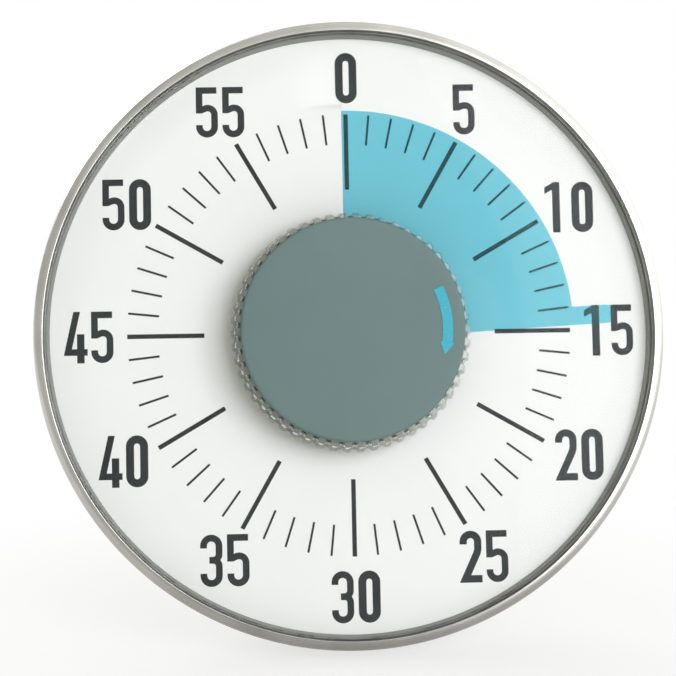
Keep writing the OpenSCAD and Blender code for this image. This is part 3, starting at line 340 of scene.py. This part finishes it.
def print_height(x, y):
    """Height of the dial's top at a point: the same ramp, counted from the slit round to it."""
    r = np.hypot(x, y)
    cut = np.degrees(slit_width / r)
    turn = np.degrees(np.arctan2(x, y)) + np.degrees(np.arcsin(slit_offset / r)) - cut / 2
    a = np.clip(turn % 360 / (1 - cut / 360), 0, 360)
    return dial_height(r, np.where(turn % 360 > 359.99, 0, a)) + dial_thickness / 2


def finer(path, step=0.7):
    """The path with points added along its longer sides, all of its own points kept."""
    path = np.asarray(path, float)
    sides = np.maximum(np.ceil(np.hypot(*np.diff(path, axis=0).T) / step).astype(int), 1)
    start = np.repeat(np.arange(len(sides)), sides)
    part = (np.arange(sides.sum()) - np.repeat(np.cumsum(sides) - sides, sides)) / sides[start]
    return np.concatenate([path[start] + (path[start + 1] - path[start]) * part[:, None], path[-1:]])


def ribbon(path, width=stroke, start=None, end=None, closed=False, lift=0.0):
    """Two edges beside a path, half a width off, mitred at its corners.

    At a corner the offset is the mean of the two sides' normals, lengthened by one over the
    cosine of half the turn. start and end give the direction of a cut that isn't square.
    """
    path = finer(path)
    side = np.diff(path, axis=0)
    side /= np.hypot(*side.T)[:, None]
    normal = np.stack([-side[:, 1], side[:, 0]], -1)
    first, last = (normal[-1], normal[0]) if closed else (normal[0], normal[-1])
    before, after = np.vstack([first, normal]), np.vstack([normal, last])
    mean = before + after
    mean /= np.hypot(*mean.T)[:, None]
    mitre = mean / (mean * after).sum(1)[:, None]
    for k, cut_way in ((0, start), (-1, end)):
        if cut_way is not None:
            mitre[k] = np.array(cut_way) / np.dot(cut_way, normal[k])
    across = np.linspace(-0.5, 0.5, 5)[:, None, None] * width
    return path[None] + across * mitre[None], lift


def arc(x, y, radius, start, end, steps=14):
    """Points on a circle, angles in degrees from the right, anticlockwise."""
    t = np.radians(np.linspace(start, end, steps))
    return np.stack([x + radius * np.cos(t), y + radius * np.sin(t)], -1)


def bowls(width):
    """Middle line of a digit's round ends in a stroke of this width, with its half width and height."""
    w, t = half_wide - width / 2, half_tall - width / 2
    return arc(0, t - w, w, 180, 0), arc(0, w - t, w, 0, -180), w, t


upper, lower, _, _ = bowls(2.4)
digits = {
    "0": [ribbon(np.vstack([upper, lower, upper[:1]]), 2.4, closed=True)],
    "1": [ribbon([(1.0, -half_tall), (1.0, half_tall)]),
          ribbon([(-2.5, 5.15), (-0.15, 6.4)], 1.8, (0, 1), (0, 1))],
    "4": [ribbon([(0.45, half_tall), (-2.3, -4.45), (3.6, -4.45)], 1.95, (1, 0)),
          ribbon([(1.57, 1.0), (1.57, -half_tall)], 2.2, lift=0.006)],
}
upper, lower, w, t = bowls(2.2)
digits["2"] = [ribbon(np.vstack([[(-w, 3.7)], upper, arc(-2.4, 2.7, w + 2.4, 8, -22, 6),
                                 [(-1.75, -t), (half_wide + 0.1, -t)]]), 2.2)]
upper, lower, w, t = bowls(2.0)
digits["3"] = [ribbon(np.vstack([[(-w, 3.7)], upper, arc(0.5, 1.95, w - 0.5, 0, -90, 9),
                                 [(-0.6, 0.15)]]), 2.0),
               ribbon(np.vstack([[(-0.6, 0.15)], arc(0.5, -1.65, w - 0.5, 90, 0, 9), lower, [(-w, -3.8)]]),
                      2.0, lift=0.006)]
digits["5"] = [ribbon([(3.0, t), (-w, t), (-w, -0.35)], 2.0),
               ribbon(np.vstack([[(-1.5, 0.75)], arc(0.25, -0.75, w - 0.25, 118, 0, 12), lower,
                                 [(-w, -3.9)]]), 2.0, (0, 1), lift=0.006)]
nudges = {0: (0.3, -0.1), 5: (-2.9, 0.4), 10: (-0.45, -1.45), 15: (0.1, -0.2), 20: (0.85, 1.3),
          25: (-0.3, 0), 30: (0.15, -0.7), 35: (0.3, 0.5), 40: (-0.7, 1.85), 45: (-0.15, 0),
          50: (1.15, 0.8), 55: (1.0, 0.1)}    # how far each number stands off its place by its tick

strips = []
for minute in range(60):
    start, width = long_tick if minute % 5 == 0 else short_tick
    way = np.array([math.sin(math.radians(6 * minute)), math.cos(math.radians(6 * minute))])
    strips.append((*ribbon([way * start, way * tick_end], width), (0, 0)))
for minute in range(0, 60, 5):
    turn = math.radians(6 * minute)
    middle = np.array([math.sin(turn), math.cos(turn)]) * number_ring + nudges[minute]
    word = str(minute)
    advance = pitch_after_one if word[0] == "1" else pitch
    for k, digit in enumerate(word):
        at = middle + [(k - (len(word) - 1) / 2) * advance, 0]
        strips += [(edges, lift, at) for edges, lift in digits[digit]]
points, faces, n = [], [], 0
for edges, lift, at in strips:
    flat = edges + at
    top = np.dstack([flat, print_height(flat[..., 0], flat[..., 1]) + ink_height + lift])
    strip_points, strip_faces = sheet(top, grid_faces(*top.shape[:2]), ink_depth + lift)
    points.append(strip_points)
    faces.append(strip_faces + n)
    n += len(strip_points)
ink = finish("ink", shade(ink_grey, 0.85), shade(ink_grey, 1.2), 0.42, 0.58, 0.000004, 0.0004,
             Specular_IOR_Level=0.15)
piece("dial_print", np.concatenate(points), np.concatenate(faces), ink, "case", "dial_white")

# ---- Blue film ----
# One turn of a shallow helix cut from tinted clear film, clamped on the hub. It comes up out of
# the slit, and its leading edge carries a pointer tab with two rounded corners.
set_angle = 87.0
film_thickness, film_inner, tail_side = 0.2, 7.15, -1.8
film_edge, tab_end, tab_corner = 68.2, 80.8, 2.3
tab_from, tab_to = -3.5, 2.1               # sides of the tab beside the leading radial line
film_tint = (0.36, 0.80, 0.88)

radii = np.concatenate([[film_inner], np.linspace(9, 66, 20), [67, 67.8, film_edge]])
across = np.concatenate([tab_from + tab_corner * (1 - np.cos(np.linspace(0, math.pi / 2, 7))),
                         [-0.7], tab_to - tab_corner * (1 - np.cos(np.linspace(math.pi / 2, 0, 7)))])
share = np.linspace(0, 1, 350)[:-1]
tail, lead = np.degrees(np.arcsin(tail_side / radii)) - 360, np.degrees(np.arcsin(tab_from / radii))
sweep = tail[:, None] + (lead - tail)[:, None] * share[None]
tongue = np.degrees(np.arcsin(across[None] / radii[:, None]))
turn = set_angle + np.hstack([sweep, tongue])
rr = radii[:, None] + 0 * turn
disc = np.stack([rr * np.sin(np.radians(turn)), rr * np.cos(np.radians(turn)), film_lead * turn / 360], -1)
rise = np.linspace(0, 1, 13)[1:, None]
foot = np.sqrt(film_edge ** 2 - across ** 2)[None]
inset = np.maximum(np.maximum(tab_from + tab_corner - across, across - tab_to + tab_corner), 0)
tip = tab_end - tab_corner + np.sqrt(np.maximum(tab_corner ** 2 - inset ** 2, 0))
up = foot * (1 - rise) + tip[None] * rise
s, c = math.sin(math.radians(set_angle)), math.cos(math.radians(set_angle))
right = across[None] + 0 * up
tab_turn = set_angle + np.degrees(np.arctan2(right, up))
tab = np.stack([right * c + up * s, -right * s + up * c, film_lead * tab_turn / 360], -1)
rows, columns = disc.shape[:2]
root = rows * columns - len(across)
tab_faces = grid_faces(len(rise) + 1, len(across))
lookup = np.concatenate([root + np.arange(len(across)), rows * columns + np.arange(tab[..., 0].size)])
film_points = np.concatenate([disc.reshape(-1, 3), tab.reshape(-1, 3)]) + [0, 0, film_thickness / 2]
film_faces = np.concatenate([grid_faces(rows, columns), lookup[tab_faces]])


def let_lamps_through(material, tint):
    """Lets shadow and diffuse rays pass the surface with a tint, so that what lies behind is lit."""
    tree = material.node_tree
    path, clear = added(tree, "LightPath"), added(tree, "BsdfTransparent", {"Color": (*tint, 1)})
    surface = tree.nodes["Principled BSDF"].outputs[0]
    for kind in ("Is Shadow Ray", "Is Diffuse Ray"):
        surface = added(tree, "MixShader", {"Fac": path.outputs[kind], 1: surface,
                                            2: clear.outputs[0]}).outputs[0]
    tree.links.new(surface, tree.nodes["Material Output"].inputs["Surface"])


film_blue = finish("film_blue", shade(film_tint, 0.985), film_tint, 0.03, 0.08, 0.000001, 0.004,
                   Transmission_Weight=0.97, IOR=1.12)
let_lamps_through(film_blue, (0.72, 0.87, 0.92))
piece("blue_film", *sheet(film_points, film_faces, film_thickness), film_blue,
      "film", "film_blue", "film_disc")

# ---- Spacer ring ----
# A satin olive-grey ring that stands on the dial's edge and holds the window off the numbers.


def rounded(corners, radii, steps=6):
    """Closed outline whose corners are eased.

    Each corner c becomes (1-t)^2 a + 2t(1-t) c + t^2 b, where a and b lie one radius along the
    two sides that meet there.
    """
    c = np.asarray(corners, float)
    size = np.broadcast_to(np.asarray(radii, float), len(c))[:, None]
    back, on = np.roll(c, 1, 0) - c, np.roll(c, -1, 0) - c
    a = c + back / np.hypot(*back.T)[:, None] * size
    b = c + on / np.hypot(*on.T)[:, None] * size
    t = np.linspace(0, 1, steps)[None, :, None]
    return ((1 - t) ** 2 * a[:, None] + 2 * t * (1 - t) * c[:, None] + t ** 2 * b[:, None]).reshape(-1, 2)


def turned(outline, steps=360):
    """Ring turned from a closed outline of radius and height: (r sin a, r cos a, z)."""
    a = np.linspace(0, 2 * math.pi, steps, endpoint=False)[:, None]
    r, z = outline[:, 0][None], outline[:, 1][None]
    points = np.stack([r * np.sin(a), r * np.cos(a), z + 0 * a], -1)
    return points, grid_faces(steps, len(outline), True, True)


spacer_olive = finish("spacer_olive", (0.235, 0.24, 0.222), (0.26, 0.265, 0.245), 0.34, 0.5, 0.00001, 0.0006,
                      Specular_IOR_Level=0.3)
piece("spacer_ring", *turned(rounded([(90.2, 0.26), (94, 0.26), (94, 3.1), (90.9, 3.1)], 0.12)),
      spacer_olive, "case", "spacer_olive", "lens_spacer")

# ---- Window ----
# A flat disc of clear acrylic with eased edges; the knob's boss turns in the hole at its middle.
window_clear = finish("window_clear", (0.97, 0.985, 0.98), (0.985, 0.995, 0.99), 0.0, 0.025, 0.0000004, 0.03,
                      Transmission_Weight=1.0, IOR=1.12)
let_lamps_through(window_clear, (0.985, 0.99, 0.985))
piece("window", *turned(rounded([(9.5, 3.1), (94, 3.1), (94, 4.6), (9.5, 4.6)], 0.15)), window_clear,
      "case", "window_clear", "lens_window")

# ---- Bezel ----
# Stainless sheet spun over window, spacer, dial and frame: a rounded outer shoulder, a narrow flat
# front with fine turning lines, a slanted inner edge, and a folded lip that presses on the window.
spun_lines, given, out = empty_pattern("spun_lines")
place = added(spun_lines, "SeparateXYZ", {0: given["Vector"]}).outputs
in_plane = added(spun_lines, "CombineXYZ", {"X": place["X"], "Y": place["Y"]})
radius = added(spun_lines, "VectorMath", {0: in_plane.outputs[0]}, operation="LENGTH")
over_profile = maths(spun_lines, "ADD", radius.outputs["Value"], place["Z"])
lines = added(spun_lines, "TexNoise", {"W": maths(spun_lines, "DIVIDE", over_profile, given["Size"]),
                                       "Scale": 1, "Detail": 4}, noise_dimensions="1D")
cloud = added(spun_lines, "TexNoise", {"Vector": given["Vector"], "Scale": 60})
spun_lines.links.new(lines.outputs[0], out["Fine"])
spun_lines.links.new(cloud.outputs[0], out["Broad"])

bezel_steel = finish("bezel_steel", (0.38, 0.375, 0.34), (0.46, 0.455, 0.42), 0.2, 0.34, 0.000006, 0.0002,
                     spun_lines, Metallic=1)
bezel_outline = rounded([(91.3, 4.61), (91.3, 5.1), (92.0, 6), (94.93, 6), (94.93, -3), (93.1, -3),
                         (93.1, -2.2), (94.15, -2.2), (94.15, 5.2), (92.1, 5.2), (92.1, 4.61)],
                        [0.1, 0.25, 0.12, 2.8, 0.35, 0.2, 0.05, 0.05, 1.4, 0.1, 0.05], 9)
# Painted reflection: the base colour is made lighter in two fans to the left and right, where turned metal
# catches the light. It is also lighter towards the top and darker towards the bottom, as painted light and
# shade.
painted_sheen_level, painted_sheen_gain, painted_top_light_gain = 0.85, 75, 1.5     # painted highlight in two fans, left and right; painted light above, painted shade below
tree = bezel_steel.node_tree
place = added(tree, "SeparateXYZ", {0: tree.nodes["Mapping"].outputs["Vector"]}).outputs
painted_side_sheen = maths(tree, "MULTIPLY_ADD", maths(tree, "MULTIPLY", place["X"], place["X"]), painted_sheen_gain, painted_sheen_level)
painted_sheen_colour = added(tree, "VectorMath", {0: tree.nodes["Mix"].outputs["Result"],
                                   "Scale": maths(tree, "MULTIPLY_ADD", place["Y"], painted_top_light_gain, painted_side_sheen)},
              operation="SCALE")
tree.links.new(painted_sheen_colour.outputs[0], tree.nodes["Principled BSDF"].inputs["Base Color"])
piece("bezel", *turned(bezel_outline, 480), bezel_steel, "case", "bezel_steel", "bezel_ring")

# ---- Clear knob body ----
# Clear acrylic cup with fifty-four finger grooves round it, a flat top plate and a boss that
# reaches down through the window and grips the flats of the spindle.
ribs, groove_r, groove_deep = 54, 1.3, 0.9
knob_foot, knob_top = 5.4, 13.0
knob_low, knob_high = 36.1, 34.8           # outer radius at the foot and at the top
wall_side, hole_side, flat_half = 33.5, 3.1, 2.35      # grooves lie outside the first, flats inside the next


def grooved(radius, a):
    """Radius with round grooves: where the groove's circle bites in, its near side is taken."""
    pitch = 2 * math.pi / ribs
    off = (a + pitch / 2) % pitch - pitch / 2
    middle = radius + groove_r - groove_deep
    bite = groove_r ** 2 - (middle * np.sin(off)) ** 2
    inner = middle * np.cos(off) - np.sqrt(np.maximum(bite, 0))
    return np.where(bite > 0, np.minimum(inner, radius), radius)


def flatted(radius, flat, a):
    """Radius of a round hole with two flats: the smaller of the circle and flat over |sin a|."""
    return np.minimum(radius, flat / np.maximum(np.abs(np.sin(a)), 1e-6))


outline = rounded([(knob_low, knob_foot), (knob_high, knob_top), (5, knob_top), (5, 11.2), (3.05, 11.2),
                   (3.05, 2.6), (8, 2.6), (8, 11), (31.6, 11), (31.6, knob_foot)],
                  [0.12, 0.3, 0.1, 0.1, 0.05, 0.2, 0.2, 0.4, 0.4, 0.12], 5)
a = np.linspace(0, 2 * math.pi, ribs * 16, endpoint=False)[:, None]
r, z = outline[:, 0][None] + 0 * a, outline[:, 1][None] + 0 * a
r = np.where(r > wall_side, grooved(r, a), r)
r = np.where(r < hole_side, flatted(r, flat_half, a), r)
knob_clear = finish("knob_clear", (0.72, 0.77, 0.745), (0.80, 0.84, 0.82), 0.08, 0.18, 0.000004, 0.003,
                    Transmission_Weight=0.96, IOR=1.42)
let_lamps_through(knob_clear, (0.50, 0.50, 0.36))
# Painted shade and refraction: the grooves are painted a dark grey that stands for the grey cap seen through
# the clear plastic and the shade beneath it, darkest close under the cap.
tree = knob_clear.node_tree                # painted shade: the grooves are painted dark grey, darkest close under the cap
place = added(tree, "SeparateXYZ", {0: tree.nodes["Mapping"].outputs["Vector"]}).outputs
wave = maths(tree, "COSINE", maths(tree, "MULTIPLY", maths(tree, "ARCTAN2", place["X"], place["Y"]), ribs))
groove = added(tree, "MapRange", {"Value": wave, "From Min": -0.2, "From Max": 0.8})
painted_shade_under_cap = added(tree, "MapRange", {"Value": place["Z"], "From Min": 0.0, "From Max": 0.0115})
grey = added(tree, "Mix", {"Factor": maths(tree, "MULTIPLY", groove.outputs[0], painted_shade_under_cap.outputs[0]),
                           "A": tree.nodes["Mix"].outputs["Result"], "B": (0.09, 0.11, 0.10, 1)},
             data_type="RGBA")
tree.links.new(grey.outputs["Result"], tree.nodes["Principled BSDF"].inputs["Base Color"])
piece("clear_knob", np.stack([r * np.sin(a), r * np.cos(a), z], -1), grid_faces(*r.shape, True, True),
      knob_clear, "knob", "knob_clear", "knob_body", crisp=50)

# ---- Knob cap and arrow ----
# A grey disc, moulded and lacquered satin, pressed on the clear knob; the blue arrow that shows
# which way to turn is a thin glossy inlay.
cap_grey = (0.125, 0.195, 0.190)
half_outline = np.array([(0, 13.0), (33.1, 13.0), (33.3, 13.2)])
shoulder = arc(32.5, 15.2, 0.8, 0, 90, 10)
half_outline = np.vstack([half_outline, shoulder, [(30, 16.0), (15, 16.0), (0, 16.0)]])
a = np.linspace(0, 2 * math.pi, 360, endpoint=False)[:, None]
r, z = half_outline[:, 0][None], half_outline[:, 1][None]
cap_lacquer = finish("cap_lacquer", shade(cap_grey, 0.97), shade(cap_grey, 1.03), 0.42, 0.52,
                     0.000006, 0.0005, Specular_IOR_Level=0.3)
piece("grey_cap", np.stack([r * np.sin(a), r * np.cos(a), z + 0 * a], -1),
      grid_faces(360, len(half_outline), True), cap_lacquer, "knob", "cap_grey", "knob_cap", weld=True)
arrow_gloss = finish("arrow_gloss", (0.016, 0.37, 0.49), (0.024, 0.40, 0.53), 0.2, 0.32, 0.000004, 0.0008,
                     Specular_IOR_Level=0.4)
dress(arrow_gloss, "knob_arrow")

# ---- Floor ----
# A plain pale sheet far larger than the view. Near the foot it takes the object's shadow; further
# off it shows plain white to the camera and in reflections.
mesh = bpy.data.meshes.new("floor")
mesh.from_pydata([(-30, -30, -0.0001), (30, -30, -0.0001), (30, 30, -0.0001), (-30, 30, -0.0001)], [],
                 [(0, 1, 2, 3)])
floor = bpy.data.objects.new("floor", mesh)
bpy.context.scene.collection.objects.link(floor)
paper = bpy.data.materials.new("floor_paper")
paper.use_nodes = True
tree = paper.node_tree
for socket, value in (("Base Color", (0.93, 0.93, 0.93, 1)), ("Roughness", 0.9), ("Specular IOR Level", 0.1)):
    tree.nodes["Principled BSDF"].inputs[socket].default_value = value


def seen_directly(tree):
    """Output that is 1 where the camera sees a point straight, mirrored or through clear plastic.

    It is the largest of the three ray kinds, and 0 once the path has met a matt surface.
    """
    path = added(tree, "LightPath").outputs
    straight = maths(tree, "MAXIMUM", path["Is Camera Ray"], path["Is Glossy Ray"])
    clear = maths(tree, "MAXIMUM", straight, path["Is Transmission Ray"])
    return maths(tree, "MULTIPLY", clear, maths(tree, "LESS_THAN", path["Diffuse Depth"], 0.5))


far = added(tree, "VectorMath", {0: added(tree, "TexCoord").outputs["Object"]}, operation="LENGTH")
fade = added(tree, "MapRange", {"Value": far.outputs["Value"], "From Min": 0.03, "From Max": 0.2,
                                "To Min": 0.7}, interpolation_type="SMOOTHSTEP")
white = added(tree, "MixShader", {"Fac": maths(tree, "MULTIPLY", seen_directly(tree), fade.outputs[0]),
                                  1: tree.nodes["Principled BSDF"].outputs[0],
                                  2: added(tree, "Emission").outputs[0]})
tree.links.new(white.outputs[0], tree.nodes["Material Output"].inputs["Surface"])
mesh.materials.append(paper)

# ---- Light ----
# A soft key from the right and a little above, a weaker lamp behind for the back, and a pale
# surround, dimmer as a light. The camera sees the surround white; in reflections it is brighter to
# the right and above, as a studio is.


def lamp(name, at, aim, size, watts, colour=(1, 1, 1)):
    """Square area lamp that faces the aimed point."""
    data = bpy.data.lights.new(name, "AREA")
    data.size, data.energy, data.color = size, watts, colour
    made = bpy.data.objects.new(name, data)
    made.location = at
    made.rotation_euler = (Vector(aim) - Vector(at)).to_track_quat("-Z", "Y").to_euler()
    bpy.context.scene.collection.objects.link(made)


lamp("key", (0.68, -1.2, 0.62), (0, 0, 0.09), 0.9, 13.7, (1.0, 1.005, 1.06))
lamp("fill", (-0.7, 1.2, 0.8), (0, 0.03, 0.1), 0.9, 8.0)
world = bpy.data.worlds.new("surround")
bpy.context.scene.world = world
world.use_nodes = True
tree = world.node_tree
seen = seen_directly(tree)
level = added(tree, "MapRange", {"Value": seen, "To Min": 0.47, "To Max": 1.0})
tint = added(tree, "Mix", {"Factor": seen, "A": (1, 0.98, 0.85, 1), "B": (1, 1, 1, 1)}, data_type="RGBA")
way = added(tree, "SeparateXYZ", {0: added(tree, "TexCoord").outputs["Generated"]}).outputs
to_right = maths(tree, "MULTIPLY_ADD", way["X"], 1.1, 0.6)
room = added(tree, "Clamp", {"Value": maths(tree, "MULTIPLY_ADD", way["Z"], 0.7, to_right),
                             "Min": 0.6, "Max": 2.0})
mirrored = maths(tree, "MULTIPLY", seen, added(tree, "LightPath").outputs["Is Glossy Ray"])
strength = added(tree, "Mix", {"Factor": mirrored, "A": level.outputs[0], "B": room.outputs[0]})
tree.links.new(tint.outputs["Result"], tree.nodes["Background"].inputs["Color"])
tree.links.new(strength.outputs["Result"], tree.nodes["Background"].inputs["Strength"])

# ---- Camera ----
# Stands 0.6 m in front, a little left and above the middle, as the photograph was taken. Its place
# and two directions are a least-squares fit to the ends of the ticks in the photo.
data = bpy.data.cameras.new("camera")
data.lens, data.sensor_width = 106.5, 36
data.clip_start = 0.05
camera = bpy.data.objects.new("camera", data)
ahead, above = Vector((0.05857117, 0.9818789, -0.18023111)), Vector((0.01598977, 0.17959516, 0.98361065))
turn = Matrix((ahead.cross(above), above, -ahead)).transposed().to_4x4()
camera.matrix_world = Matrix.Translation((-0.0391167, -0.5870022, 0.2012980)) @ turn
bpy.context.scene.collection.objects.link(camera)
bpy.context.scene.camera = camera
bpy.context.scene.view_settings.view_transform = "Standard"
